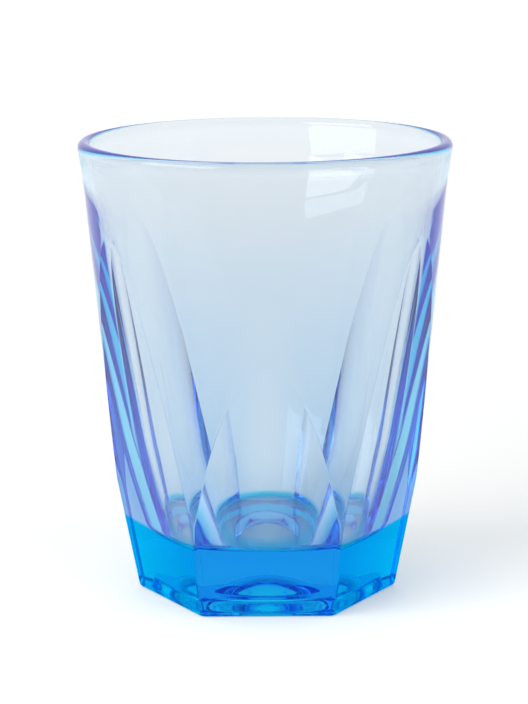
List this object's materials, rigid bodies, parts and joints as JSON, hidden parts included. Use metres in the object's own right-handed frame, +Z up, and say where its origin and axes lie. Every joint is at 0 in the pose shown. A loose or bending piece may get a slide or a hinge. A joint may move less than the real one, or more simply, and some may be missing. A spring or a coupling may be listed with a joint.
{
  "type": "latte glass",
  "caption": "Tapering drinking glass of blue pressed glass, round at the rim, with leaning flats that end in a thick hexagonal foot hollowed underneath; holds a hot or cold drink.",
  "frame": {"origin": "on the table plane under the middle of the foot, on the glass's axis", "axes": "+Z up the axis of the glass towards the rim; -Y out of one of the two shorter flats, which is the front; +X out of the ridge on the right of the front"},
  "size_m": [0.088, 0.088, 0.1085],
  "materials": {
    "blue_glass": "clear soda-lime glass tinted sky blue through its mass, fire polished as pressed; pale in the wall and azure in the solid foot"
  },
  "bodies": {
    "root": {"tumbler": "blue_glass"}
  },
  "joints": []
}
